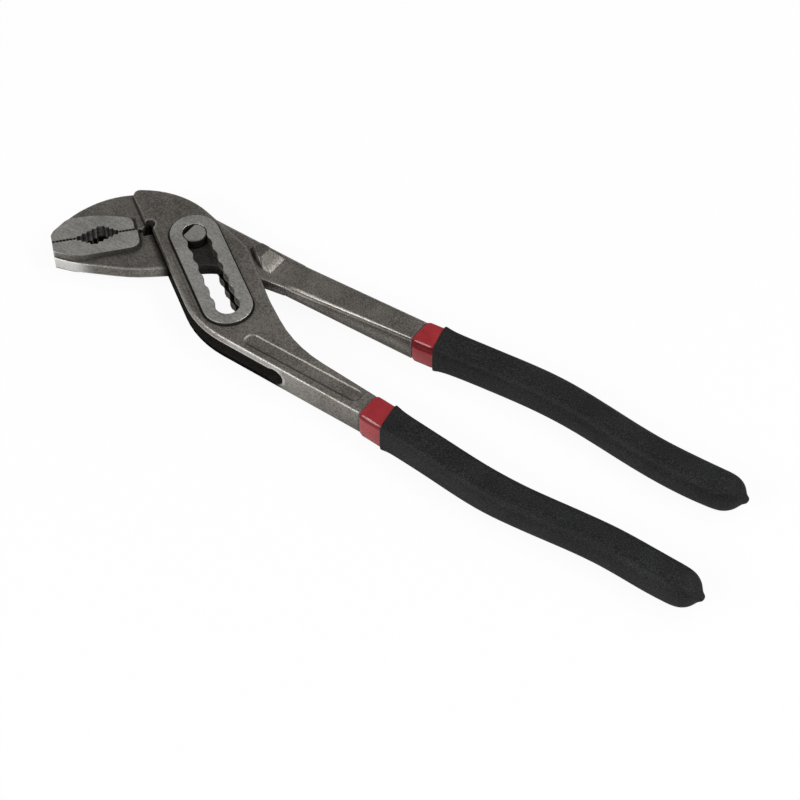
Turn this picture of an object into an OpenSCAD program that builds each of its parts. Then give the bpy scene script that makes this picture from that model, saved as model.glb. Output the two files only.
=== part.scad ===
// Water pump pliers with a box joint, jaws closed, lying flat.
// Two drop-forged levers cross in a box: the slotted lever carries the upper jaw,
// the through lever passes between its cheeks and carries the lower jaw.
// The origin is under the pivot axis, on the surface the tool lies on.
// +X runs along the handles, +Y towards the through lever's handle.

/* [Pivot pin] */
// Diameter of the pin
pin_d = 9.5; // [9:0.1:10]
// Distance from the pin's axis to the flat on its ends
pin_flat = 2.6; // [2:0.1:3.2]
// Running clearance of the pin in the through lever, on the radius
pin_clear = 0.05; // [0.02:0.01:0.1]
// Clearance of the pin in a setting of the slot, on the radius
slot_clear = 0.1; // [0.05:0.01:0.2]
// Chamfer on the pin's ends
pin_chamfer = 0.3; // [0.1:0.1:0.6]
// How far the pin's ends lie below the ground land
pin_sink = 0.1; // [0:0.1:0.4]

/* [Slot] */
// Number of settings
settings = 7; // [5:1:8]
// Distance between two settings
pitch = 6.9; // [6.5:0.1:7.5]
// Width of the necks between the settings
neck_w = 8.3; // [7.8:0.1:8.8]
// Angle between the slot and the handles
slot_angle = 34; // [33:0.5:35]
// Width of the ground land round the slot
land_w = 5; // [4.4:0.1:5.6]
// Height of the ground land above the cheek
land_rise = 1.2; // [0.6:0.1:1.6]

/* [Box joint] */
// Thickness of the through lever where it passes the box
web_t = 5.2; // [4.6:0.1:6]
// Clearance between the web and each cheek
web_clear = 0.2; // [0.1:0.05:0.4]
// Thickness of a cheek
cheek_t = 3; // [2.6:0.1:3.6]
// Width of the cheek between the ground land and the front edge
front_strip = 4.75; // [4.4:0.05:5.2]
// Width of the cheek behind the slot's axis
back_strip = 17.2; // [16.8:0.1:17.6]
// Radius of the through lever's hub round the pin
hub_r = 14.1; // [13.6:0.1:14.3]
// Diameter of the drilled hole that ends the box on the handle side
keyhole_d = 7.2; // [6.4:0.1:8]
// Distance along the slot from the last setting to that hole
keyhole_past = 35.2; // [34.8:0.1:36.4]

/* [Jaws] */
// Length of the tooth line
jaw_len = 33; // [31.5:0.5:34.5]
// Slope of the tooth line against the handles
jaw_slope = 47.7; // [46.5:0.1:48.5]
// Half thickness of the upper jaw beside its ground land
jaw_half = 3.8; // [3.5:0.1:4.2]
// Half thickness of the jaws across their ground lands
jaw_land_half = 4.75; // [4.6:0.05:5.2]
// Pitch of the fine teeth at the nose and at the root
fine_pitch = 1.3; // [1:0.1:1.6]
// Pitch of the coarse teeth in the pipe grip
coarse_pitch = 2.2; // [1.8:0.1:2.6]
// Depth of the fine teeth
fine_depth = 0.55; // [0.3:0.05:0.8]
// Depth of the coarse teeth
coarse_depth = 0.8; // [0.5:0.05:1.1]
// Depth of the pipe grip's notch in each jaw
notch_depth = 4.4; // [3.6:0.1:5]
// Gap between the closed jaws
jaw_gap = 0.3; // [0.2:0.05:0.6]

/* [Handles] */
// Distance from the pivot to the slotted lever's undercoat
slotted_bar = 107.5; // [102:0.5:114]
// Distance from the pivot to the through lever's undercoat
through_bar = 102.2; // [98:0.1:110]
// Width of both handle bars where the undercoat starts
bar_w = 11.4; // [10.6:0.1:11.8]
// Radius on the forged edges
edge_r = 1.1; // [0.6:0.1:1.4]
// Draft of the forged sides, from the parting line to the face
draft = 0.25; // [0.1:0.05:0.4]

/* [Coatings] */
// Thickness of the undercoat
under_t = 0.65; // [0.4:0.05:0.8]
// Length of undercoat that the slotted lever's grip leaves bare
slotted_show = 9.3; // [7:0.1:12]
// Length of undercoat that the through lever's grip leaves bare
through_show = 8; // [7:0.1:12]
// Length of the slotted lever's grip
slotted_grip_len = 136.1; // [125:0.1:150]
// Length of the through lever's grip
through_grip_len = 133.9; // [120:0.1:145]
// Half width of the grips in the palm
grip_half_w = 7.1; // [6.8:0.1:7.5]

/* [Stop lug] */
// Half thickness across the stop lugs
lug_half = 5.4; // [4.6:0.1:5.8]

/* [Hidden] */
$fn = 64;
arc_step = 6;
section_sides = 20;
far = 60;

// Heights, measured from the mid-plane of the tool
web_half = web_t / 2;
gap_half = web_half + web_clear;
cheek_half = gap_half + cheek_t;
land_half = cheek_half + land_rise;
mid_z = land_half;

// Slot and boss
pin_r = pin_d / 2;
setting_r = pin_r + slot_clear;
boss_r = setting_r + land_w;
travel = (settings - 1) * pitch;
front_edge = boss_r + front_strip;
reset_angle = 90 - slot_angle;
keyhole_s = travel + keyhole_past;

// Places given along the slot (s) and towards its front edge (n)
function slot_pt(s, n) =
    [s * cos(slot_angle) - n * sin(slot_angle), -s * sin(slot_angle) - n * cos(slot_angle)];

// Front corner of the slotted lever, where the box turns into the handle
corner_past = 3.4;
corner_s = travel + corner_past;
corner = slot_pt(corner_s, front_edge);
slotted_front = corner.y;
slotted_flare = 0.9;
slotted_edge = slotted_front - slotted_flare;
slotted_axis = slotted_edge + bar_w / 2;
through_back = hub_r;
through_flare = 0.6;
through_edge = through_back + through_flare;
through_axis = through_edge - bar_w / 2;

// Jaw frame: w runs from the root of the tooth line to the nose, v towards the upper jaw
jaw_root = [-22.1, -10.6];
function jaw_pt(w, v) =
    jaw_root - w * [cos(jaw_slope), sin(jaw_slope)] + v * [-sin(jaw_slope), cos(jaw_slope)];

// Outlines: each corner is [place, radius], and a radius becomes an arc
function unit(v) = v / norm(v);
function arc_at(p0, p1, p2, r) =
    let (
        a = unit(p0 - p1),
        b = unit(p2 - p1),
        half = acos(a * b) / 2,
        centre = p1 + unit(a + b) * r / sin(half),
        from = p1 + a * r / tan(half) - centre,
        turn = (180 - 2 * half) * sign(a.x * b.y - a.y * b.x) * -1,
        steps = max(2, ceil(abs(turn) / arc_step))
    )
    [for (i = [0:steps])
        let (t = turn * i / steps)
        centre + [from.x * cos(t) - from.y * sin(t), from.x * sin(t) + from.y * cos(t)]];
function outline(corners) =
    let (n = len(corners))
    [for (i = [0:n - 1])
        let (c = corners[i])
        each c[1] == 0
            ? [c[0]]
            : arc_at(corners[(i + n - 1) % n][0], c[0], corners[(i + 1) % n][0], c[1])];

// A closed outline moved inwards, for outlines that run anticlockwise
function normal_in(p, q) = unit([p.y - q.y, q.x - p.x]);
function inset(path, d) =
    let (n = len(path))
    [for (i = [0:n - 1])
        let (
            a = normal_in(path[(i + n - 1) % n], path[i]),
            b = normal_in(path[i], path[(i + 1) % n])
        )
        path[i] + (a + b) * d / (1 + a * b)];

// The flat inside of an outline as triangles, cut off one corner at a time, the shortest cut first
flat_turn = 0.000001;
function turn_at(a, b, c) = (b.x - a.x) * (c.y - a.y) - (b.y - a.y) * (c.x - a.x);
function covers(a, b, c, p) = turn_at(a, b, p) >= 0 && turn_at(b, c, p) >= 0 && turn_at(c, a, p) >= 0;
function cut_free(path, left, cut) =
    let (
        a = path[cut[0]],
        b = path[cut[1]],
        c = path[cut[2]]
    )
    turn_at(a, b, c) > flat_turn
    && len([for (k = left) if (len(search(k, cut)) == 0 && covers(a, b, c, path[k])) k]) == 0;
function triangles(path, left) =
    let (n = len(left))
    n == 3 ? [left] :
    let (
        cuts = [for (i = [0:n - 1]) [left[(i + n - 1) % n], left[i], left[(i + 1) % n]]],
        free = [for (c = cuts) if (cut_free(path, left, c)) c],
        spans = [for (c = free) norm(path[c[2]] - path[c[0]])],
        best = free[search(min(spans), spans)[0]]
    )
    concat([best], triangles(path, [for (k = left) if (k != best[1]) k]));
function flat_inside(path) = triangles(path, [for (i = [0:len(path) - 1]) i]);

// A solid skinned over rings of points that run anticlockwise seen from its far end.
// Its two ends are the given faces of a ring, or the whole ring where that is convex.
module skin(rings, ends = undef) {
    n = len(rings[0]);
    last = (len(rings) - 1) * n;
    lids = is_undef(ends) ? [[for (j = [0:n - 1]) j]] : ends;
    sides = [for (i = [0:len(rings) - 2], j = [0:n - 1])
        let (a = i * n + j, b = i * n + (j + 1) % n)
        each [[a, a + n, b + n], [a, b + n, b]]];
    far_lids = [for (f = lids) [for (k = [len(f) - 1:-1:0]) last + f[k]]];
    polyhedron([for (r = rings) each r], concat(sides, lids, far_lids));
}

// A forging: widest at the parting line, with draft to both faces and rounded edges.
// Its half thickness may grow along X from x0 by the given slope.
edge_mid = 0.3;
module forging(path, half, edge = edge_r, lean = draft, slope = 0, x0 = 0) {
    mid = edge * edge_mid;
    levels = [[1, edge], [1 - mid / half, mid], [1 - edge / half, 0]];
    up = [for (l = [2:-1:0]) levels[l]];
    rings = concat(
        [for (l = levels) [-l[0], l[1] + lean * l[0]]],
        [[0, 0]],
        [for (l = up) [l[0], l[1] + lean * l[0]]]
    );
    skin(
        [for (r = rings)
            [for (p = inset(path, r[1]))
                [p.x, p.y, r[0] * (half + slope * (p.x - x0))]]],
        flat_inside(inset(path, edge + lean))
    );
}

// A ground land raised off both faces of a jaw, with a wall that leans out to its foot
land_edge = 0.2;
foot_sink = 0.3;
module raised_land(path, foot_half, lean) {
    rings = [
        [-jaw_land_half, lean + land_edge],
        [land_edge - jaw_land_half, lean],
        [-foot_half, 0],
        [foot_half, 0],
        [jaw_land_half - land_edge, lean],
        [jaw_land_half, lean + land_edge]
    ];
    skin(
        [for (r = rings) [for (p = inset(path, r[1])) [p.x, p.y, r[0]]]],
        flat_inside(inset(path, lean + land_edge))
    );
}

// Teeth between two places: crests on the line, roots set to its left by the depth
function teeth(a, b, tooth_pitch, depth) =
    let (
        n = max(1, round(norm(b - a) / tooth_pitch)),
        dir = unit(b - a),
        left = [-dir.y, dir.x]
    )
    [for (i = [0:n - 1])
        each [a + (b - a) * i / n, a + (b - a) * (i + 0.5) / n + left * depth]];

// Tooth profile of one jaw in the jaw frame, from the root to the nose.
// Fine teeth, a notch of coarse teeth for pipes, fine teeth again.
tooth_over = 4;
notch_root = 6.3;
notch_nose = 9.6;
upper_apex = 12.9;
lower_apex = 16.7;
function tooth_profile(apex) =
    let (
        crest = jaw_gap / 2,
        p = [
            [-tooth_over, crest],
            [notch_root, crest],
            [apex, crest + notch_depth],
            [jaw_len - notch_nose, crest],
            [jaw_len + tooth_over, crest]
        ]
    )
    concat(
        teeth(p[0], p[1], fine_pitch, fine_depth),
        teeth(p[1], p[2], coarse_pitch, coarse_depth),
        teeth(p[2], p[3], coarse_pitch, coarse_depth),
        teeth(p[3], p[4], fine_pitch, fine_depth),
        [p[4]]
    );

// Everything on the far side of a jaw's tooth profile, and past the nose's flat end
tooth_reach = 8;
module tooth_cut(apex, side) {
    profile = concat(
        tooth_profile(apex),
        [[jaw_len + tooth_over, -tooth_reach], [-tooth_over, -tooth_reach]]
    );
    linear_extrude(2 * land_half, center = true) {
        polygon([for (p = profile) jaw_pt(p.x, side * p.y)]);
        polygon([
            jaw_pt(jaw_len, -far),
            jaw_pt(jaw_len, far),
            jaw_pt(jaw_len + tooth_over, far),
            jaw_pt(jaw_len + tooth_over, -far)
        ]);
    }
}

// Smooth curve through points, for the sweep of the handles
function span_of(x, p, i = 0) = (i >= len(p) - 2 || x < p[i + 1].x) ? i : span_of(x, p, i + 1);
function slope_at(p, i) =
    let (a = max(0, i - 1), b = min(len(p) - 1, i + 1))
    (p[b].y - p[a].y) / (p[b].x - p[a].x);
function curve_y(x, p) =
    let (
        i = span_of(x, p),
        h = p[i + 1].x - p[i].x,
        t = (x - p[i].x) / h
    )
    p[i].y * (2 * t ^ 3 - 3 * t ^ 2 + 1) + slope_at(p, i) * h * (t ^ 3 - 2 * t ^ 2 + t)
    + p[i + 1].y * (3 * t ^ 2 - 2 * t ^ 3) + slope_at(p, i + 1) * h * (t ^ 3 - t ^ 2);

// One cross-section of a handle: a rounded rectangle, squarer with a higher power.
// With a tilt, its front lies that much further along the handle than its back.
function bulge(c, power) = sign(c) * abs(c) ^ (2 / power);
function section(x, y, half_w, half_h, power, tilt = 0) =
    [for (i = [0:section_sides - 1])
        let (
            t = 360 * (i + 0.5) / section_sides,
            across = bulge(cos(t), power)
        )
        [x - across * tilt / 2, y + half_w * across, half_h * bulge(sin(t), power)]];

// Handles: centreline offsets from the bar, by distance from the undercoat's start.
// The two levers bow apart in the palm and come back towards the ends.
function handle_line(start, axis, side, spread, tail) = [
    [start - 10, axis],
    [start + 2, axis + side * 0.3],
    [start + 26, axis + side * (2.4 + spread)],
    [start + 60, axis + side * (4.9 + spread)],
    [start + 104, axis + side * (1.3 + spread)],
    [start + 127, axis + side * (1.8 + spread)],
    [start + 150, axis + side * tail]
];
slotted_line = handle_line(slotted_bar, slotted_axis, -1, -0.3, 1.2);
through_line = handle_line(through_bar, through_axis, 1, 0.7, 5.3);

// Tang of a lever inside its coats: the bar's section under the bare undercoat, then slimmer
tang_power = 8;
tang_in = 4;
tang_tuck = 0.9;
tang_short = 9;
tang_step = 13;
tang_neck = 6;
lip_len = 1.4;
lip_share = 0.3;
tang_root = [bar_w / 2 - draft, cheek_half];
tang_slim = [4.4, 5];
tang_end = [3.9, 4.3];
function tang_half(d, show, run, k) = lookup(d, [
    [show, tang_root[k]],
    [show + tang_neck, tang_slim[k]],
    [run, tang_end[k]]
]);
function tang_rings(line, start, show, length, extra) =
    let (
        run = show + length - tang_short + extra,
        slim_run = run - show - tang_neck,
        count = ceil(slim_run / tang_step),
        stations = concat(
            [0, lip_len, show],
            [for (i = [0:count]) show + tang_neck + slim_run * i / count]
        )
    )
    [for (d = stations)
        let (coat = extra * lookup(d, [[0, lip_share], [lip_len, 1]]))
        section(start + d, curve_y(start + d, line), tang_half(d, show, run, 0) + coat,
            tang_half(d, show, run, 1) + coat, tang_power)];

module tang(line, start, show, length) {
    x = start - tang_in;
    tucked = section(x, curve_y(x, line), tang_root.x - tang_tuck, tang_root.y - tang_tuck, tang_power);
    skin(concat([tucked], tang_rings(line, start, show, length, 0)));
}

// The undercoat starts in a thin lip
module undercoat_body(line, start, show, length) {
    skin(tang_rings(line, start, show, length, under_t));
}

// Grip: bead at its mouth, which is not quite square, waist, palm swell, and a round end with a drip
grip_step = 9;
slotted_tilt = 1.7;
through_tilt = 2.8;
bead_len = 0.5;
bead_w = 0.3;
bead_rise = 0.25;
waist_w = 0.4;
grip_low = 0.15;
mouth_len = 4.5;
end_len = 21.5;
function grip_power(d) = lookup(d, [[0, 7], [mouth_len, 5], [60, 3]]);
function grip_half(d, length) = lookup(d, [
    [0, grip_half_w - waist_w],
    [bead_len, grip_half_w - waist_w + bead_w],
    [3 * bead_len, grip_half_w - waist_w + bead_w * 0.8],
    [mouth_len, grip_half_w - waist_w],
    [20, grip_half_w - waist_w],
    [52, grip_half_w],
    [88, grip_half_w - waist_w / 2],
    [length - end_len, grip_half_w],
    [length - 9, grip_half_w - 0.2],
    [length - 6, grip_half_w - 1],
    [length - 3.6, grip_half_w - 2.5],
    [length - 2.2, grip_half_w - 4.4],
    [length - 1.5, grip_half_w - 5.3],
    [length, grip_half_w - 6]
]);
function grip_rings(line, start, show, length, tilt) =
    let (
        x0 = start + show,
        run = length - mouth_len - end_len,
        steps = floor(run / grip_step),
        stations = concat(
            [0, bead_len, 3 * bead_len, mouth_len],
            [for (i = [1:steps]) mouth_len + run * i / steps],
            [length - 15, length - 9, length - 6, length - 3.6, length - 2.2, length - 1.5, length]
        )
    )
    [for (d = stations)
        let (
            half = grip_half(d, length),
            rise = lookup(d, [[0, bead_rise], [mouth_len, 0]]),
            tall = land_half - grip_low + min(0, half - grip_half_w) + rise
        )
        section(x0 + d, curve_y(x0 + d, line), half, tall, grip_power(d),
            tilt * lookup(d, [[bead_len, 1], [mouth_len + grip_step, 0]]))];

module grip_body(line, start, show, length, tilt) {
    difference() {
        skin(grip_rings(line, start, show, length, tilt));
        undercoat_body(line, start, show, length);
    }
}

module undercoat(line, start, show, length) {
    difference() {
        undercoat_body(line, start, show, length);
        tang(line, start, show, length);
    }
}

// Slotted lever
corner_r = 42;
throat_s = -12.1;
throat_out = 0.3;
throat_r = 2.3;
step_out = 1.9;
step_n = front_edge + step_out;
cheek_path = outline([
    [slot_pt(throat_s, front_edge), 0],
    [corner, corner_r],
    [[slotted_bar, slotted_edge], 0],
    [[slotted_bar, slotted_edge + bar_w], 0],
    [corner + [38, 13.3], 60],
    [slot_pt(travel + 1.5, 0.6 - back_strip), 60],
    [slot_pt(travel - 27, -0.9 - back_strip), 25],
    [slot_pt(-26.4, -3.7), 36],
    [slot_pt(-34.2, step_n), 3],
    [slot_pt(throat_s, step_n), 0]
]);
nose_over = 1.5;
land_over = nose_over + 0.4;
tooth_side = 2.5;
land_side = tooth_side + 0.4;
jaw_back_w = 0.215 * jaw_len;
jaw_back_r = 1.046 * jaw_len;
upper_jaw_path = outline([
    [jaw_pt(-1, -tooth_side), 0],
    [jaw_pt(-6, 3.2), 0],
    [jaw_pt(-5.5, 16), 0],
    [jaw_pt(-4.5, 20.8), 0],
    [jaw_pt(jaw_back_w, 22.1), jaw_back_r],
    [jaw_pt(jaw_len - 9.6, 15.2), jaw_back_r],
    [jaw_pt(jaw_len - 1.3, 6.9), 3],
    [jaw_pt(jaw_len + nose_over, 2.3), 0],
    [jaw_pt(jaw_len + nose_over, -tooth_side), 0]
]);
upper_land_lean = 0.4;
upper_land_path = outline([
    [jaw_pt(-0.6, -land_side), 0],
    [jaw_pt(-0.6, 7), 4.5],
    [jaw_pt(13, 11.9), 40],
    [jaw_pt(jaw_len - 7.5, 12.2), 6],
    [jaw_pt(jaw_len - 1.1, 6.6), 3],
    [jaw_pt(jaw_len + land_over, 1.7), 0],
    [jaw_pt(jaw_len + land_over, -land_side), 0]
]);
panel_len = 47.6;
panel_w = 6.2;
panel_deep = 0.5;
panel_x = 52.7;
panel_up = 5.6;
panel_lean = 0.6;
panel_end = panel_w / 2 - 0.1;
panel_path = outline([
    [[panel_x - panel_w / 2, slotted_front + panel_up - panel_w / 2], panel_end],
    [[panel_x + panel_len + panel_w / 2, slotted_front + panel_up - panel_w / 2], panel_end],
    [[panel_x + panel_len + panel_w / 2, slotted_front + panel_up + panel_w / 2], panel_end],
    [[panel_x - panel_w / 2, slotted_front + panel_up + panel_w / 2], panel_end]
]);

// The box's gap, where the web passes, slides and swings
hub_clear = 0.5;
swing_over = 4;
swing_tuck = 0.05;
gap_corner = [-19.2, -8.6];
gap_top = -3.6;
module box_gap() {
    clear_r = hub_r + hub_clear;
    swing = 90 + reset_angle + swing_over;
    lean = [cos(swing), sin(swing)];
    linear_extrude(2 * gap_half, center = true) {
        circle(clear_r);
        polygon([
            (clear_r - swing_tuck) * lean,
            (clear_r - swing_tuck) * lean + far * [lean.y, -lean.x],
            slot_pt(keyhole_s, -far),
            slot_pt(keyhole_s, far),
            [gap_corner.x, -far],
            gap_corner,
            [-clear_r, gap_top]
        ]);
    }
    translate([each slot_pt(keyhole_s, 0), 0])
        rotate([90, 0, -slot_angle])
            cylinder(d = keyhole_d, h = 2 * far, center = true);
}

module slot_cut() {
    rotate(-slot_angle)
        linear_extrude(2 * far, center = true) {
            for (i = [0:settings - 1])
                translate([i * pitch, 0])
                    circle(setting_r);
            translate([0, -neck_w / 2])
                square([travel, neck_w]);
        }
}

module boss() {
    rotate(-slot_angle)
        linear_extrude(2 * land_half, center = true) {
            circle(boss_r);
            translate([travel, 0])
                circle(boss_r);
            translate([0, -boss_r])
                square([travel, 2 * boss_r]);
        }
}

// The recess is stamped with walls that lean out
module panel() {
    skin([for (side = [-1, 1])
        [for (p = inset(panel_path, -side * panel_lean))
            [p.x, p.y, cheek_half + side * panel_deep]]]);
}

module slotted_lever() {
    color("dimgray")
        translate([0, 0, mid_z])
            difference() {
                union() {
                    forging(cheek_path, cheek_half);
                    forging(upper_jaw_path, jaw_half);
                    raised_land(upper_land_path, jaw_half - edge_r / 2, upper_land_lean);
                    boss();
                    tang(slotted_line, slotted_bar, slotted_show, slotted_grip_len);
                }
                box_gap();
                slot_cut();
                tooth_cut(upper_apex, 1);
                panel();
                translate([each slot_pt(throat_s, front_edge + throat_out), 0])
                    cylinder(r = throat_r, h = 2 * far, center = true);
            }
}

// Through lever
taper_x = 44.2;
taper_front = -0.35;
web_edge = 0.4;
web_lean = 0.1;
hub_arc = hub_r - 0.1;
web_path = outline([
    [jaw_pt(jaw_len + nose_over, -5.7), 0],
    [jaw_pt(jaw_len - 6, -10.7), 40],
    [[-10, -26.7], 60],
    [[16.5, -4.8], 22],
    [[taper_x, taper_front], 0],
    [[taper_x, through_back], 0],
    [[-hub_r, through_back], hub_arc],
    [[-hub_r, -4], 3],
    [jaw_pt(-3.3, -2.2), 0],
    [jaw_pt(-3.3, tooth_side), 0],
    [jaw_pt(jaw_len + nose_over, tooth_side), 0]
]);
lower_land_lean = 0.85;
lower_land_path = outline([
    [jaw_pt(jaw_len + land_over, land_side), 0],
    [jaw_pt(jaw_len + land_over, -4.9), 0],
    [jaw_pt(jaw_len - 8.5, -10.9), 14],
    [jaw_pt(-2, -10.6), 5],
    [jaw_pt(-2, land_side), 0]
]);

// Handle bar of the through lever: it grows out of the web and reaches the cheeks' thickness
taper_in = 8;
taper_tuck = 0.6;
taper_step = 0.12;
taper_lead = 3;
taper_x0 = taper_x - taper_lead;
taper_edge = 0.8;
taper_slope = (cheek_half - web_half) / (through_bar - taper_x0);
taper_path = [
    [taper_x - taper_in, taper_front + taper_tuck],
    [taper_x, taper_front + taper_step],
    [through_bar, through_edge - bar_w],
    [through_bar, through_edge],
    [taper_x, through_back - taper_step],
    [taper_x - taper_in, through_back - taper_tuck]
];

// Stop lugs: they stand off both faces of the web beside the box's back edge
lug_base = [[20.5, 8.6], [26, 4.4], [32.7, 2], [36.2, 2], [36.2, 12.2], [29.7, 13.2], [23.7, 13]];
lug_top = [[22.3, 9], [26.6, 5.6], [28, 5], [28.6, 5.6], [28.6, 11], [27.2, 12], [24.3, 12]];
module stop_lugs() {
    foot = web_half - foot_sink;
    rings = [[lug_top, -lug_half], [lug_base, -foot], [lug_base, foot], [lug_top, lug_half]];
    skin([for (r = rings) [for (p = r[0]) [p.x, p.y, r[1]]]]);
}

module through_lever() {
    color("dimgray")
        translate([0, 0, mid_z])
            difference() {
                union() {
                    forging(web_path, web_half, web_edge, web_lean);
                    raised_land(lower_land_path, web_half - foot_sink, lower_land_lean);
                    forging(taper_path, web_half, taper_edge, web_lean, taper_slope, taper_x0);
                    stop_lugs();
                    tang(through_line, through_bar, through_show, through_grip_len);
                }
                cylinder(r = pin_r + pin_clear, h = 2 * far, center = true);
                tooth_cut(lower_apex, -1);
            }
}

// Pivot pin: round through the web, one flat on each end so that it can pass the necks
module pivot_pin() {
    half = land_half - pin_sink;
    color("silver")
        translate([0, 0, mid_z])
            difference() {
                rotate_extrude()
                    polygon([
                        [0, -half],
                        [pin_r - pin_chamfer, -half],
                        [pin_r, pin_chamfer - half],
                        [pin_r, half - pin_chamfer],
                        [pin_r - pin_chamfer, half],
                        [0, half]
                    ]);
                for (side = [-1, 1])
                    translate([-pin_flat - pin_r, -pin_r, side > 0 ? web_half : -web_half - far])
                        cube([pin_r, pin_d, far]);
            }
}

module slotted_undercoat() {
    color("firebrick")
        translate([0, 0, mid_z])
            undercoat(slotted_line, slotted_bar, slotted_show, slotted_grip_len);
}

module through_undercoat() {
    color("firebrick")
        translate([0, 0, mid_z])
            undercoat(through_line, through_bar, through_show, through_grip_len);
}

module slotted_grip() {
    color([0.14, 0.14, 0.14])
        translate([0, 0, mid_z])
            grip_body(slotted_line, slotted_bar, slotted_show, slotted_grip_len, slotted_tilt);
}

module through_grip() {
    color([0.14, 0.14, 0.14])
        translate([0, 0, mid_z])
            grip_body(through_line, through_bar, through_show, through_grip_len, through_tilt);
}

slotted_lever();
through_lever();
pivot_pin();
slotted_undercoat();
through_undercoat();
slotted_grip();
through_grip();
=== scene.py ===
import math

import bpy
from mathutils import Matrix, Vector


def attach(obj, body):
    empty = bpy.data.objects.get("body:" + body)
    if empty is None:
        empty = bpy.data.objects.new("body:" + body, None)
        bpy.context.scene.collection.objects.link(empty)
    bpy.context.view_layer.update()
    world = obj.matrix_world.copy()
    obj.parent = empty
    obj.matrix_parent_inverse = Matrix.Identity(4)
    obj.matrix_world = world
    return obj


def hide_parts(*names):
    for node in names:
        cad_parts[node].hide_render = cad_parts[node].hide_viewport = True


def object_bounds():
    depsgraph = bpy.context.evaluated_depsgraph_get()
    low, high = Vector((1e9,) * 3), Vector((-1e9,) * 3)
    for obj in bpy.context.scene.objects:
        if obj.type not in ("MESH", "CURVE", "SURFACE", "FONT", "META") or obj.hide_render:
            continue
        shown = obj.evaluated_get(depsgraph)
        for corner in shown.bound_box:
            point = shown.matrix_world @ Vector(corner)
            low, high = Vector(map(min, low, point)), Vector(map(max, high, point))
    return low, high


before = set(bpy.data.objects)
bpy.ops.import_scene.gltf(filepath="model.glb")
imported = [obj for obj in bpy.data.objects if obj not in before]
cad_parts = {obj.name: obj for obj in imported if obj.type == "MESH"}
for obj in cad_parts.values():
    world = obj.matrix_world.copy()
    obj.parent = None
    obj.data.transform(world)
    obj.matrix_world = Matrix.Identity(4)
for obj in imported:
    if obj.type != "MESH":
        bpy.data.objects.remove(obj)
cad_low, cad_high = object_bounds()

# The table and the studio: a white table top in a pale room. One soft box on the right throws
# the shadow to the left, a second behind it lights the slopes, and a long one low at the front
# left draws the lines along the edges.
MM = 0.001
scene = bpy.context.scene
scene.view_settings.view_transform = "Standard"


class Socket:
    """A shader value that takes Python's operators, each of which adds a Math node."""

    def __init__(self, tree, link):
        self.tree = tree
        self.link = link

    def node(self, kind, settings=None, **inputs):
        """Adds any node: its settings first, then the values or links of its sockets.

        A socket goes by its label, or by i and its number where labels repeat.
        """
        made = self.tree.nodes.new(kind)
        for name, value in (settings or {}).items():
            setattr(made, name, value)
        for name, value in inputs.items():
            numbered = name[0] == "i" and name[1:].isdigit()
            key = int(name[1:]) if numbered else name.replace("_", " ")
            if isinstance(value, Socket):
                self.tree.links.new(value.link, made.inputs[key])
            else:
                made.inputs[key].default_value = value
        return made

    def out(self, kind, output=0, settings=None, **inputs):
        """One output of a new node."""
        return Socket(self.tree, self.node(kind, settings, **inputs).outputs[output])

    def into(self, shader, name):
        """Links this value to a shader's socket."""
        self.tree.links.new(self.link, shader.inputs[name])

    def math(self, operation, *values):
        """A Math node on some values."""
        inputs = {f"i{k}": v for k, v in enumerate(values)}
        return self.out("ShaderNodeMath", 0, {"operation": operation}, **inputs)

    def __add__(self, other):
        return self.math("ADD", self, other)

    def __radd__(self, other):
        return self.math("ADD", other, self)

    def __sub__(self, other):
        return self.math("SUBTRACT", self, other)

    def __rsub__(self, other):
        return self.math("SUBTRACT", other, self)

    def __mul__(self, other):
        return self.math("MULTIPLY", self, other)

    def __rmul__(self, other):
        return self.math("MULTIPLY", other, self)

    def __abs__(self):
        return self.math("ABSOLUTE", self)

    def most(self, *others):
        """The largest of this value and the others."""
        largest = self
        for other in others:
            largest = self.math("MAXIMUM", largest, other)
        return largest

    def smooth(self, low, high):
        """0 at low, 1 at high, and a soft step between."""
        return self.out("ShaderNodeMapRange", 0, {"interpolation_type": "SMOOTHSTEP"},
                        Value=self, From_Min=low, From_Max=high)

    def step(self, low, high):
        """The same soft step, with its ends in millimetres."""
        return self.smooth(low * MM, high * MM)

    def band(self, start, full, fading, end):
        """1 from full to fading, and 0 outside start and end, all in millimetres."""
        return self.step(start, full) * self.step(end, fading)

    def between(self, first, second):
        """The mix of two colours, with this value as its factor."""
        return self.out("ShaderNodeMix", 2, {"data_type": "RGBA"}, i0=self, i6=first, i7=second)

    def noise(self, scale, detail=2.0, roughness=0.5):
        """Cloudy noise at this place."""
        return self.out("ShaderNodeTexNoise", "Fac", Vector=self, Scale=scale, Detail=detail,
                        Roughness=roughness)

    def relief_on(self, shader, strength=1.0, distance=1.0):
        """Uses this value as the height of a surface's fine relief."""
        relief = self.out("ShaderNodeBump", Strength=strength, Distance=distance, Height=self)
        relief.into(shader, "Normal")


def new_material(name):
    """An empty material with its shader: (material, shader node, Object coordinates)."""
    material = bpy.data.materials.new(name)
    material.use_nodes = True
    tree = material.node_tree
    shader = tree.nodes["Principled BSDF"]
    place = Socket(tree, tree.nodes.new("ShaderNodeTexCoord").outputs["Object"])
    return material, shader, place


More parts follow.
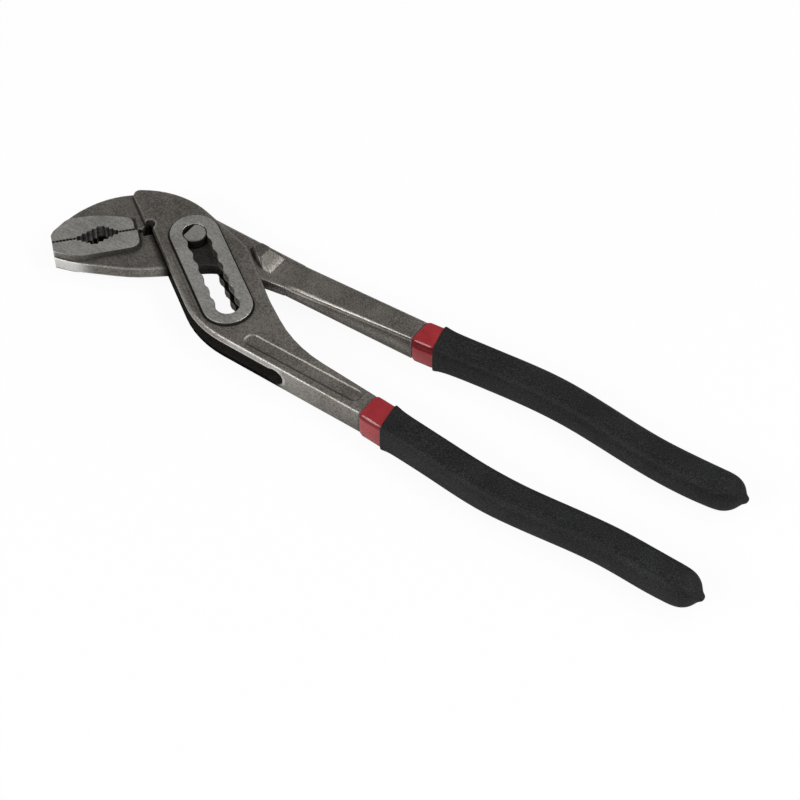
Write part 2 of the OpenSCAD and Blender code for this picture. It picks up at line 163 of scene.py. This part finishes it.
white_seen = 0.93
white_in_gloss = 0.12
table_material, table_shader, table_place = new_material("white_table")
table_tree = table_place.tree
table_shader.inputs["Base Color"].default_value = (0.85, 0.85, 0.85, 1)
table_shader.inputs["Roughness"].default_value = 0.9
table_shader.inputs["Specular IOR Level"].default_value = 0.0
ray_path = table_place.node("ShaderNodeLightPath").outputs
to_camera = Socket(table_tree, ray_path["Is Camera Ray"])
to_gloss = Socket(table_tree, ray_path["Is Glossy Ray"])
to_glass = Socket(table_tree, ray_path["Is Transmission Ray"])
white_share = to_camera * white_seen + to_gloss * white_in_gloss + to_glass * white_seen
lit_top = Socket(table_tree, table_shader.outputs[0])
white_glow = table_place.out("ShaderNodeEmission", Color=(1, 1, 1, 1), Strength=1.0)
table_mix = table_place.out("ShaderNodeMixShader", Fac=white_share, i1=lit_top, i2=white_glow)
table_mix.into(table_tree.nodes["Material Output"], "Surface")

table_side = 12.0
table_middle = 0.1
table_clearance = 0.05 * MM
bpy.ops.object.select_all(action="DESELECT")
bpy.ops.mesh.primitive_plane_add(size=table_side, location=(table_middle, 0, -table_clearance))
table = bpy.context.object
table.name = "table"
bpy.ops.object.transform_apply(location=True)
table.data.materials.append(table_material)

world = bpy.data.worlds.new("pale_room")
scene.world = world
world.use_nodes = True
room = world.node_tree.nodes["Background"]
room.inputs["Color"].default_value = (1.0, 1.0, 1.0, 1)
room.inputs["Strength"].default_value = 0.3

aim = Vector((113.1, -19.8, 7.0)) * MM


def set_up(thing, azimuth, elevation, distance):
    """Puts a lamp or the camera in the studio, facing the tool.

    Azimuth 0 is in front of the tool, and 90 on its right.
    """
    a, e = math.radians(azimuth), math.radians(elevation)
    way = Vector((math.sin(a) * math.cos(e), -math.cos(a) * math.cos(e), math.sin(e)))
    scene.collection.objects.link(thing)
    thing.location = aim + way * distance
    thing.rotation_euler = (-way).to_track_quat("-Z", "Y").to_euler()


def soft_box(name, width, height, power):
    """An area light."""
    lamp = bpy.data.lights.new(name, "AREA")
    lamp.shape = "RECTANGLE"
    lamp.size = width
    lamp.size_y = height
    lamp.energy = power
    return bpy.data.objects.new(name, lamp)


right_box = soft_box("right_box", width=0.5, height=0.5, power=6.0)
set_up(right_box, azimuth=95, elevation=42, distance=1.2)
back_box = soft_box("back_box", width=0.4, height=0.4, power=3.5)
set_up(back_box, azimuth=158, elevation=55, distance=1.2)
front_left_box = soft_box("front_left_box", width=0.95, height=0.42, power=11.0)
set_up(front_left_box, azimuth=-26, elevation=33, distance=1.3)

camera_data = bpy.data.cameras.new("camera")
camera_data.sensor_width = 36.0
camera_data.lens = 105.3
camera = bpy.data.objects.new("camera", camera_data)
set_up(camera, azimuth=35.0, elevation=49.6, distance=0.8784)
scene.camera = camera

# Slotted lever: one drop forging in tempered steel, left dark and satin from the heat treatment.
# Its flash is trimmed to a low line along the sides, its edges are rubbed bright and carry a
# painted highlight, and the boss round the slot and the jaw's land are ground flat and pale. Shade
# in its gap, corners and feet is painted dark.
MID_Z = 7.0 * MM
ON_PLANE = 0.01 * MM
SLOT_TURN = math.radians(34)
SLOT_LENGTH = 41.4 * MM
JAW_SLOPE = math.radians(47.7)
JAW_ROOT_X = -22.1 * MM
JAW_ROOT_Y = -10.6 * MM
TO_FRONT = (0, -1, 0)
TO_NOSE = (-0.673, -0.74, 0)
BELOW_JAWS = (0.74, -0.673, 0)
CREASE_SAMPLES = 12
FLAT_SHARE = 0.96


def take(piece):
    """Selects one piece alone and makes it active."""
    bpy.ops.object.select_all(action="DESELECT")
    piece.select_set(True)
    bpy.context.view_layer.objects.active = piece


def bench_copy(node, name):
    """A copy of a CAD node's mesh as a new piece, its triangles merged and its flats made whole."""
    weld_gap = 0.002 * MM
    flat_within = math.radians(0.4)
    piece = bpy.data.objects.new(name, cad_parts[node].data.copy())
    scene.collection.objects.link(piece)
    take(piece)
    piece.data.materials.clear()
    if piece.data.has_custom_normals:
        bpy.ops.mesh.customdata_custom_splitnormals_clear()
    bpy.ops.object.mode_set(mode="EDIT")
    bpy.ops.mesh.select_all(action="SELECT")
    bpy.ops.mesh.remove_doubles(threshold=weld_gap)
    bpy.ops.mesh.dissolve_limited(angle_limit=flat_within)
    bpy.ops.object.mode_set(mode="OBJECT")
    return piece


def choose_edges(piece, sharpness, fits):
    """Selects the edges that are sharper than an angle and whose two ends both fit a place."""
    take(piece)
    bpy.ops.object.mode_set(mode="EDIT")
    bpy.ops.mesh.select_mode(type="EDGE")
    bpy.ops.mesh.select_all(action="DESELECT")
    bpy.ops.mesh.edges_select_sharp(sharpness=math.radians(sharpness))
    bpy.ops.object.mode_set(mode="OBJECT")
    mesh = piece.data
    chosen = [edge for edge in mesh.edges
              if edge.select and all(fits(mesh.vertices[v].co) for v in edge.vertices)]
    for group in (mesh.polygons, mesh.edges, mesh.vertices):
        for item in group:
            item.select = False
    for edge in chosen:
        edge.select = True
        for v in edge.vertices:
            mesh.vertices[v].select = True
    bpy.ops.object.mode_set(mode="EDIT")


def ease_edges(piece, sharpness, width, fits):
    """Breaks the chosen edges with a narrow round."""
    choose_edges(piece, sharpness, fits)
    bpy.ops.mesh.bevel(offset=width, segments=2, profile=0.5, clamp_overlap=False)
    bpy.ops.object.mode_set(mode="OBJECT")


def raise_flash(piece):
    """Turns the parting line on the sides into the low ridge that trimming the flash leaves."""
    any_angle = 0.05
    ridge_width = 0.3 * MM
    ridge_height = 0.1 * MM
    nose_end = cad_low[0] + 1.5 * MM
    choose_edges(piece, any_angle, lambda co: abs(co.z - MID_Z) < ON_PLANE)
    bpy.ops.mesh.bevel(offset=ridge_width, segments=2, profile=0.5, clamp_overlap=True)
    bpy.ops.mesh.select_mode(type="VERT")
    bpy.ops.mesh.select_all(action="DESELECT")
    bpy.ops.object.mode_set(mode="OBJECT")
    for vertex in piece.data.vertices:
        vertex.select = abs(vertex.co.z - MID_Z) < ON_PLANE and vertex.co.x > nose_end
    bpy.ops.object.mode_set(mode="EDIT")
    bpy.ops.transform.shrink_fatten(value=ridge_height)
    bpy.ops.object.mode_set(mode="OBJECT")


def finish_edges(piece, angle):
    """Smooth shading up to an angle, with the flats kept flat."""
    take(piece)
    bpy.ops.object.shade_smooth_by_angle(angle=math.radians(angle))
    weigh = piece.modifiers.new("weigh", "WEIGHTED_NORMAL")
    weigh.keep_sharp = True
    weigh.weight = 80
    bpy.ops.object.modifier_apply(modifier=weigh.name)


def edge_wear_and_highlight(place, reach):
    """1 on outward edges, where handling rubs the steel and a highlight is painted, and 0 on flats.
    """
    edge_share = 0.7
    settings = {"samples": CREASE_SAMPLES, "inside": True, "only_local": True}
    inside = place.out("ShaderNodeAmbientOcclusion", "AO", settings, Distance=reach)
    return inside.smooth(FLAT_SHARE, edge_share)


def corner_shade(place, reach, full):
    """1 deep in inward corners and gaps, where shade is painted dark and scale and oil stay, and 0
    in the open.
    """
    settings = {"samples": CREASE_SAMPLES, "only_local": True}
    open_share = place.out("ShaderNodeAmbientOcclusion", "AO", settings, Distance=reach)
    return open_share.smooth(FLAT_SHARE, full)


def axes(place):
    """The x, y and z of a place."""
    parts = place.node("ShaderNodeSeparateXYZ", Vector=place).outputs
    return [Socket(place.tree, part) for part in parts]


def off_middle(place):
    """Distance above or below the tool's middle plane."""
    return abs(axes(place)[2] - MID_Z)


def facing(place, way):
    """How far a wall faces a direction, from -1 to 1."""
    normal = place.out("ShaderNodeTexCoord", "Normal")
    return place.out("ShaderNodeVectorMath", "Value", {"operation": "DOT_PRODUCT"},
                     i0=normal, i1=way)


def slot_along(place):
    """Distance along the slot from the pin's first setting towards the handle."""
    x, y, _ = axes(place)
    return x * math.cos(SLOT_TURN) + y * -math.sin(SLOT_TURN)


def slot_front(place):
    """Distance from the slot's axis towards the box's front edge."""
    x, y, _ = axes(place)
    return x * -math.sin(SLOT_TURN) + y * -math.cos(SLOT_TURN)


def slot_far(place):
    """Distance from the slot's axis, also round its two ends."""
    along, front = slot_along(place), slot_front(place)
    past = along - along.math("MINIMUM", along.most(0.0), SLOT_LENGTH)
    return along.math("SQRT", past * past + front * front)


def jaw_axes(place):
    """Distances from the tooth line's root: along it to the nose, and off it to the upper jaw."""
    x, y, _ = axes(place)
    from_x, from_y = x - JAW_ROOT_X, y - JAW_ROOT_Y
    forward = from_x * -math.cos(JAW_SLOPE) + from_y * -math.sin(JAW_SLOPE)
    upward = from_x * -math.sin(JAW_SLOPE) + from_y * math.cos(JAW_SLOPE)
    return forward, upward


def throat_shade(place):
    """Painted shade in the pocket behind the jaws, blackest next to the cheek."""
    throat = (-19.8 * MM, -7.0 * MM, 7.3 * MM)
    far = place.out("ShaderNodeVectorMath", "Value", {"operation": "DISTANCE"},
                    i0=place, i1=throat)
    by_cheek = slot_front(place).step(15.6, 14.6)
    return far.step(4.8, 3.6) * (0.6 + by_cheek * 0.4)


def tooth_line_shade(place):
    """Painted shade along the edges of the fine teeth."""
    forward, upward = jaw_axes(place)
    return abs(upward).step(0.6, 0.3) * forward.step(-3, -2) * 0.8


def nose_bare(place):
    """The jaw's end, ground bright across."""
    return facing(place, TO_NOSE).smooth(0.9, 0.97) * axes(place)[0].step(-36, -42)


scale_dark = (0.137, 0.125, 0.11, 1)
scale_pale = (0.33, 0.308, 0.282, 1)
# The rubbed edges' colour, brightened to stand for a painted highlight.
rubbed_and_highlight_bright = (0.66, 0.645, 0.62, 1)
# Bright bare metal, also used as a painted reflection on walls.
bare_and_sheen_bright = (0.8, 0.795, 0.77, 1)
# The black of painted shade, and of oil kept in corners.
shade_and_oil_black = (0.005, 0.0048, 0.0044, 1)


def forged_steel(name, shade_places, bare_and_sheen, rounded=None):
    """Satin dark steel: cloudy scale, fine grain, rubbed edges with a painted highlight, and
    painted shade.

    The three functions after the name give the places of one lever: its painted shade, its bare
    metal and painted reflection, and its rounding as a height.
    """
    material, shader, place = new_material(name)
    cloud = place.noise(scale=60.0, detail=4.0, roughness=0.6)
    grain = place.noise(scale=1600.0, detail=3.0, roughness=0.7)
    fleck = place.noise(scale=2600.0, detail=1.0)
    pits = place.noise(scale=420.0).smooth(0.25, 0.6)
    # Painted shade in inward corners and gaps, where some oil also stays.
    wide_crease_shade = corner_shade(place, reach=3.0 * MM, full=0.4)
    narrow_crease_shade = corner_shade(place, reach=1.8 * MM, full=0.55)
    # Painted shade from the creases and the lever's shaded places darkens the base colour.
    shade_and_oil = wide_crease_shade.most(narrow_crease_shade * 0.85, shade_places(place))
    # Rubbed edges, brightened further as a painted highlight.
    rub_and_highlight = edge_wear_and_highlight(place, reach=1.2 * MM) * grain.smooth(0.26, 0.5) * (1.0 - shade_and_oil)
    base = (cloud * 0.3 + grain * 0.7).smooth(0.38, 0.62).between(scale_dark, scale_pale)
    base = (rub_and_highlight * 0.75).between(base, rubbed_and_highlight_bright)
    # Bare ground metal at the jaw's end, and a painted reflection on lit walls.
    base = (bare_and_sheen(place) * (0.55 + grain * 0.6)).between(base, bare_and_sheen_bright)
    shade_and_oil.between(base, shade_and_oil_black).into(shader, "Base Color")
    (0.36 + cloud * 0.1 + fleck * 0.1 - rub_and_highlight * 0.1 + shade_and_oil * 0.25).into(shader, "Roughness")
    (1.0 - shade_and_oil.smooth(0.7, 1.0)).into(shader, "Metallic")
    shader.inputs["Specular IOR Level"].default_value = 0.0
    relief = (grain * 0.6 + fleck * 0.3 + pits * 0.8) * (0.025 * MM)
    if rounded:
        relief = relief + rounded(place)
    relief.relief_on(shader)
    return material


ground_dark = (0.36, 0.352, 0.33, 1)
ground_pale = (0.68, 0.67, 0.64, 1)
# The dark of painted shade along the tooth line.
tooth_shade_dark = (0.01, 0.0097, 0.009, 1)


def ground_steel(name, turn, shade_places=None):
    """Pale steel with the fine straight lines of a surface grinder, at a turn in degrees."""
    material, shader, place = new_material(name)
    turned = place.out("ShaderNodeMapping", 0, {"vector_type": "POINT"}, Vector=place,
                       Rotation=(0, 0, math.radians(turn)), Scale=(120.0, 2600.0, 300.0))
    lines = turned.noise(scale=1.0, detail=3.0, roughness=0.6)
    grain = place.noise(scale=1250.0, detail=3.0, roughness=0.7)
    cloud = place.noise(scale=90.0, detail=4.0)
    tone = (lines * 0.25 + grain * 0.5 + cloud * 0.25).smooth(0.36, 0.64)
    base = tone.between(ground_dark, ground_pale)
    if shade_places:
        # Painted shade along the tooth line.
        base = shade_places(place).between(base, tooth_shade_dark)
    base.into(shader, "Base Color")
    (0.33 + lines * 0.14).into(shader, "Roughness")
    shader.inputs["Metallic"].default_value = 1.0
    (lines + grain).relief_on(shader, strength=0.3, distance=0.02 * MM)
    return material


ground = ground_steel("ground_steel", turn=20, shade_places=tooth_line_shade)


def grind(piece, height, low_x, high_x):
    """Gives the flats at one height, on both faces of the tool, the ground finish."""
    ground_finish = 1
    upright = 0.98
    height_gap = 0.03 * MM
    for face in piece.data.polygons:
        flat = abs(face.normal.z) > upright
        at_height = abs(abs(face.center.z - MID_Z) - height) < height_gap
        if flat and at_height and low_x < face.center.x < high_x:
            face.material_index = ground_finish


def slotted_shade(place):
    """Painted shade in the gap and its round end, on the lower cheek's wall, the bar's front and
    end, the feet of boss, panel and land, the line in front of the boss, and the throat."""
    x, y, z = axes(place)
    level = off_middle(place)
    along, front, far = slot_along(place), slot_front(place), slot_far(place)
    forward, upward = jaw_axes(place)
    faces_front = facing(place, TO_FRONT)
    before_end = along.step(81, 77)
    outside = along.step(48, 52).most(front.step(8, 10))
    cheek_wall = faces_front.smooth(0.2, 0.5) * z.step(7.0, 5.6) * before_end * outside
    bar_front = faces_front.smooth(0.6, 0.9) * x.step(74, 94)
    bar_end = x.step(105.8, 107.2)
    gap = level.step(3.1, 2.85) * along.step(-14, -11) * before_end
    gap_end = (1.0 - faces_front.smooth(0.3, 0.6)) * level.step(4.4, 4.0) * y.step(-31, -33)
    gap_end = gap_end * along.band(50, 66, 82, 84)
    boss_foot = far.band(9.75, 9.95, 10.4, 10.8) * level.step(6.95, 6.8)
    boss_line = front.band(11.2, 11.5, 11.8, 12.2) * along.band(0, 8, 40, 47)
    boss_line = boss_line * level.step(5.4, 5.7)
    panel_foot = x.band(49, 52, 102, 105) * y.band(-35.6, -34.9, -34.0, -32.9)
    panel_foot = panel_foot * z.band(11.5, 11.9, 12.5, 12.76)
    land_foot = forward.band(-1.6, -1.1, 0.4, 1.0) * upward.band(-3, -2, 6.5, 8)
    land_foot = land_foot * level.step(3.5, 3.7)
    return cheek_wall.most(bar_front * 0.16, bar_end * 0.5, gap * 0.9, gap_end * 0.9,
                           boss_foot * 0.95, boss_line * 0.4, panel_foot * 0.65,
                           land_foot * 0.8, throat_shade(place))


def slotted_bare_and_sheen(place):
    """The jaw's end, ground bright, and a painted reflection on the front wall of the bar,
    strongest over the gap.
    """
    x, _, z = axes(place)
    front_wall = facing(place, TO_FRONT).smooth(0.6, 0.9)
    bar_side = front_wall * x.band(30, 62, 66, 98)
    gap_lip = front_wall * x.band(38, 50, 68, 74) * z.step(9.2, 9.8)
    return nose_bare(place).most(bar_side * 0.14, gap_lip * 0.4)


boss_half = 7.0 * MM
boss_span = (-20 * MM, 60 * MM)
land_half = 4.75 * MM
land_span = (-60 * MM, -14 * MM)
panel_floor = 12.3 * MM
panel_rim = 12.8 * MM
panel_span = (48 * MM, 105 * MM)
panel_y = -31.5 * MM
panel_reach = 3.6 * MM
lever_smooth = 50


def on_boss_rim(co):
    """The rims of the boss on both faces."""
    return abs(abs(co.z - MID_Z) - boss_half) < ON_PLANE


def on_panel_edge(co):
    """The edges of the panel's rim and floor."""
    at_edge = min(abs(co.z - panel_floor), abs(co.z - panel_rim)) < 2 * ON_PLANE
    in_plan = panel_span[0] < co.x < panel_span[1] and abs(co.y - panel_y) < panel_reach
    return at_edge and in_plan


slotted = bench_copy("slotted_lever", "slotted_forging")
slotted.data.materials.append(forged_steel("slotted_steel", slotted_shade, slotted_bare_and_sheen))
slotted.data.materials.append(ground)
raise_flash(slotted)
ease_edges(slotted, sharpness=60, width=0.22 * MM, fits=on_boss_rim)
ease_edges(slotted, sharpness=20, width=0.2 * MM, fits=on_panel_edge)
grind(slotted, boss_half, *boss_span)
grind(slotted, land_half, *land_span)
finish_edges(slotted, lever_smooth)
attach(slotted, "slotted_half")
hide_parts("slotted_lever")

# Through lever: the second drop forging in the same steel, thin where it passes the box and thick
# along the handle. The part that slides between the cheeks is painted dark for the shade there,
# and the edges of its stop lugs are hardly broken.
lug_x = (20 * MM, 36.6 * MM)
lug_y = (1.8 * MM, 13.3 * MM)
lug_face = 2.2 * MM


def through_shade(place):
    """Painted shade on the web between the cheeks, the jaw's front, flat and land's foot, the bar's
    side and end, the stop lugs and the throat."""
    x = axes(place)[0]
    level = off_middle(place)
    forward, upward = jaw_axes(place)
    web = slot_front(place).band(-11.0, -8.5, 14.6, 18.6)
    web = web * (0.8 + slot_far(place).step(5.5, 7.5) * 0.2)
    jaw_front = level.step(2.6, 2.9) * x.step(-44, -30) * 0.53 + x.step(-31, -23) * 0.28
    jaw_front = jaw_front * facing(place, BELOW_JAWS).smooth(0.2, 0.4) * x.step(0, -12)
    jaw_flat = level.band(2.4, 2.55, 2.7, 2.9) * x.step(-2, -8)
    land_foot = forward.band(-2.9, -2.3, -0.9, -0.5) * upward.band(-11, -9, 2, 3)
    land_foot = land_foot * level.step(2.5, 2.7)
    bar_side = facing(place, TO_FRONT).smooth(0.6, 0.9) * x.step(20, 40) * level.step(-1, 4)
    bar_end = x.step(100.6, 102)
    lugs = level.step(2.8, 4.0) * x.band(20, 24, 36, 37.5)
    return web.most(jaw_front, jaw_flat * 0.2, land_foot * 0.75, bar_side * 0.5, bar_end * 0.5,
                    lugs * 0.35, throat_shade(place))


def through_bare_and_sheen(place):
    """The jaw's end, ground bright, and the trimmed wall below it, bare with a painted reflection
    brightest at the nose.
    """
    wall = facing(place, BELOW_JAWS).smooth(0.4, 0.8) * axes(place)[0].step(-23, -33)
    wall = wall * off_middle(place).step(2.7, 2.3)
    return nose_bare(place).most(wall * 0.85)


def bar_round(place):
    """The softly rounded front edges of the bar, as a height over its leaning front and faces."""
    front_lean, front_start = 0.0445, 1.56 * MM
    face_lean, face_start = 0.053, 0.42 * MM
    round_height = 0.9 * MM
    x, y, _ = axes(place)
    from_front = y - x * front_lean + front_start
    from_face = x * face_lean + face_start - off_middle(place)
    return from_front.most(from_face).step(-0.2, 1.7) * x.step(40, 50) * round_height


def on_lug(co):
    """The edges of the stop lugs, which stand on both faces of the web."""
    in_plan = lug_x[0] < co.x < lug_x[1] and lug_y[0] < co.y < lug_y[1]
    return in_plan and abs(co.z - MID_Z) > lug_face


through = bench_copy("through_lever", "through_forging")
through.data.materials.append(forged_steel("through_steel", through_shade, through_bare_and_sheen, bar_round))
through.data.materials.append(ground)
raise_flash(through)
ease_edges(through, sharpness=12, width=0.25 * MM, fits=on_lug)
grind(through, land_half, *land_span)
finish_edges(through, lever_smooth)
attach(through, "through_half")
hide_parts("through_lever")

# Pivot pin: one turned steel pin with a flat on each end, ground level with the boss
# and held by the web of the through lever.
pin_dark = (0.03, 0.029, 0.027, 1)
pin_pale = (0.075, 0.072, 0.068, 1)
pin_span = (-60 * MM, 60 * MM)
pin_smooth = 40


def turned_steel(name):
    """Dark oiled steel with fine rings round the pin."""
    material, shader, place = new_material(name)
    stretched = place.out("ShaderNodeMapping", 0, {"vector_type": "POINT"}, Vector=place,
                          Scale=(60.0, 60.0, 4200.0))
    rings = stretched.noise(scale=1.0)
    rings.smooth(0.3, 0.7).between(pin_dark, pin_pale).into(shader, "Base Color")
    (0.45 + rings * 0.15).into(shader, "Roughness")
    shader.inputs["Metallic"].default_value = 1.0
    return material


pin = bench_copy("pivot_pin", "pin_ground")
pin.data.materials.append(turned_steel("pin_side"))
pin.data.materials.append(ground_steel("pin_steel", turn=-40))
pin_half = max(vertex.co.z for vertex in pin.data.vertices) - MID_Z
grind(pin, pin_half, *pin_span)
finish_edges(pin, pin_smooth)
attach(pin, "pin")
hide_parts("pivot_pin")

# Undercoats: the first dip on each tang, a glossy red plastic that shows as a short band
# between the bare bar and the grip.
# The deepest red is a painted dark reflection below the upper corner.
red_band_shade = (0.11, 0.003, 0.005, 1)
red_dark = (0.24, 0.012, 0.018, 1)
red_pale = (0.31, 0.02, 0.026, 1)
coat_half = 6.43 * MM
coat_smooth = 60
coat_levels = 2
corner_low, corner_high = 5.6 * MM, 6.0 * MM
lip_gap = 0.1 * MM


def round_off(piece):
    """Rounds a dipped coat: its triangles are paired to quads and then subdivided."""
    take(piece)
    bpy.ops.object.mode_set(mode="EDIT")
    bpy.ops.mesh.select_all(action="SELECT")
    bpy.ops.mesh.tris_convert_to_quads(face_threshold=math.radians(60),
                                       shape_threshold=math.radians(80))
    bpy.ops.object.mode_set(mode="OBJECT")
    soft = piece.modifiers.new("soft", "SUBSURF")
    soft.levels = coat_levels
    soft.render_levels = coat_levels
    bpy.ops.object.modifier_apply(modifier=soft.name)


def on_coat_corner(co, lip_end):
    """The long corners of a coat, behind its mouth."""
    return corner_low < abs(co.z - MID_Z) < corner_high and co.x > lip_end - lip_gap


def red_dip(name, shine, band_start):
    """Glossy red plastic, with a painted dark reflection in a band below its upper corner.

    The last argument gives where that band starts, as a share of the height from the middle to the
    top.
    """
    corner = 0.87
    material, shader, place = new_material(name)
    shader.inputs["Specular IOR Level"].default_value = shine
    cloud = place.noise(scale=120.0, detail=3.0)
    tall = (axes(place)[2] - MID_Z) * (1 / coat_half)
    # A painted dark reflection in a band below the upper corner.
    dark_band = tall.smooth(band_start, band_start + 0.3) * tall.smooth(0.9, 0.86)
    colour = cloud.smooth(0.3, 0.7).between(red_dark, red_pale)
    (dark_band * 0.8).between(colour, red_band_shade).into(shader, "Base Color")
    (0.2 + cloud * 0.12).into(shader, "Roughness")
    low = tall.math("MINIMUM", tall, 0.0)
    swell = tall.smooth(band_start, corner) * ((corner - band_start) * 2.4) + low * low * 0.8
    (swell * -MM + cloud * (0.015 * MM)).relief_on(shader)
    return material


for half, lip_end, shine, band_start in (("slotted", 108.9 * MM, 0.5, 0.5),
                                  ("through", 103.6 * MM, 0.4, 0.2)):
    coat = bench_copy(half + "_undercoat", half + "_red_dip")
    coat.data.materials.append(red_dip(half + "_red", shine, band_start))
    choose_edges(coat, sharpness=24, fits=lambda co: on_coat_corner(co, lip_end))
    bpy.ops.mesh.bevel(offset=0.5 * MM, segments=1, clamp_overlap=False)
    bpy.ops.transform.edge_crease(value=0.9)
    bpy.ops.object.mode_set(mode="OBJECT")
    choose_edges(coat, sharpness=50, fits=lambda co: True)
    bpy.ops.transform.edge_crease(value=1.0)
    bpy.ops.object.mode_set(mode="OBJECT")
    round_off(coat)
    finish_edges(coat, coat_smooth)
    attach(coat, half + "_half")
    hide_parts(half + "_undercoat")

# Grips: the second dip, a thick matte black plastic with a pebbled skin.
# It has a lip at its mouth and runs out in a drip at its end.
black_deep = (0.005, 0.0051, 0.0053, 1)
black_pale = (0.025, 0.0252, 0.0255, 1)


def black_dip(name):
    """Matte black plastic with a fine pebbled skin."""
    material, shader, place = new_material(name)
    pebble = place.noise(scale=1900.0, detail=2.0, roughness=0.55)
    cloud = place.noise(scale=60.0, detail=3.0)
    tone = (pebble * 0.8 + cloud * 0.2).smooth(0.42, 0.66)
    tone.between(black_deep, black_pale).into(shader, "Base Color")
    (0.52 + pebble * 0.2).into(shader, "Roughness")
    shader.inputs["Specular IOR Level"].default_value = 0.18
    pebble.relief_on(shader, strength=0.7, distance=0.15 * MM)
    return material


black = black_dip("black_grip")
for half in ("slotted", "through"):
    grip = bench_copy(half + "_grip", half + "_black_dip")
    grip.data.materials.append(black)
    round_off(grip)
    finish_edges(grip, coat_smooth)
    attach(grip, half + "_half")
    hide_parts(half + "_grip")
